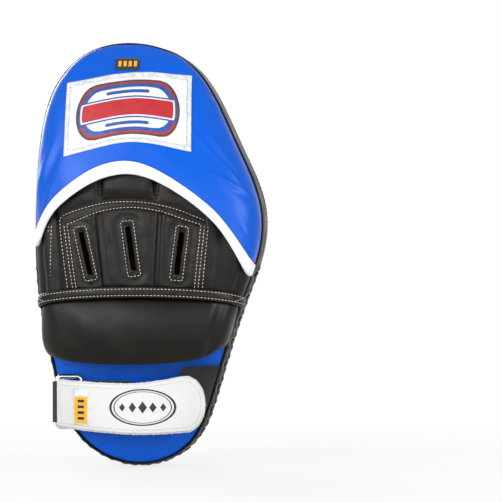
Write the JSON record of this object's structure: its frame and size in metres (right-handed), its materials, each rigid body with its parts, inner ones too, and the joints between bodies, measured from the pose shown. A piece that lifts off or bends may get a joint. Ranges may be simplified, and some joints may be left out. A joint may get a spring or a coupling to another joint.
{
  "type": "focus mitt",
  "caption": "Curved punch mitt for the left hand: blue padded face, laced black side wall, finger hood, slotted finger panel and wrist strap on a wire ring",
  "frame": {"origin": "middle of the mouth of the hand pocket, halfway between the pad's back and the cushion over the hand", "axes": "+Z towards the fingertips, +Y away from the struck side, +X towards the little finger"},
  "size_m": [0.1686, 0.0972, 0.313],
  "materials": {
    "blue_leather": "smooth coated leather, soft gloss",
    "black_leather": "smooth coated leather, soft gloss",
    "white_leather": "smooth coated leather",
    "white_vinyl": "printed soft vinyl",
    "white_binding": "folded binding tape",
    "woven_patch": "fine satin weave",
    "woven_tag": "fine weave",
    "woven_label": "fine weave",
    "black_lace": "flat cut lace",
    "black_webbing": "woven webbing",
    "black_pile": "hook and loop pile",
    "white_pile": "hook and loop pile",
    "white_foam": "closed cell foam",
    "foam": "closed cell foam",
    "steel_wire": "plated wire"
  },
  "bodies": {
    "root": {"striking_face_cover": "blue_leather", "finger_hood": "blue_leather", "back_panel": "blue_leather", "face_target_patch": "white_vinyl", "face_piping": "black_leather", "striking_foam": "foam", "core_foam": "white_foam", "backing_foam": "foam", "upper_gusset": "black_leather", "lower_gusset": "black_leather", "edge_laces": "black_lace", "hood_binding": "white_binding", "hood_patch": "woven_patch", "hand_tag": "woven_tag", "finger_panel": "black_leather", "finger_channel": "black_leather", "thumb_side_web": "black_leather", "pinky_side_web": "black_leather", "knuckle_band": "black_leather", "hand_cushion_cover": "black_leather", "hand_cushion_foam": "foam", "ring_anchor_tab": "black_webbing"},
    "ring": {"wire_ring": "steel_wire"},
    "strap_base": {"strap_end_fold": "black_webbing", "strap_base_leather": "white_leather", "strap_base_pile": "white_pile", "strap_label": "woven_label"},
    "strap_tip": {"strap_tip_leather": "white_leather", "strap_tip_pile": "white_pile"},
    "loop_tab": {"wrist_loop_tab": "black_pile"}
  },
  "joints": [
    {"name": "ring_pivot", "type": "hinge", "parent": "root", "child": "ring", "pos_m": [0.041, -0.016, -0.0285], "axis": [0, 0, -1], "range_deg": [0, 15]},
    {"name": "strap_open", "type": "hinge", "parent": "ring", "child": "strap_base", "pos_m": [0.0575, -0.0117, -0.0285], "axis": [0, 0, -1], "range_deg": [0, 150]},
    {"name": "strap_peel", "type": "hinge", "parent": "strap_base", "child": "strap_tip", "pos_m": [-0.008, 0.0094, -0.0285], "axis": [0, 0, -1], "range_deg": [0, 80]},
    {"name": "loop_tab_lift", "type": "hinge", "parent": "root", "child": "loop_tab", "pos_m": [-0.0567, -0.0212, -0.0185], "axis": [-0.3001, 0.129, 0.9452], "range_deg": [0, 37.5]}
  ],
  "couplings": [
    {"joint": "loop_tab_lift", "follows": "strap_open", "ratio": 0.25}
  ]
}
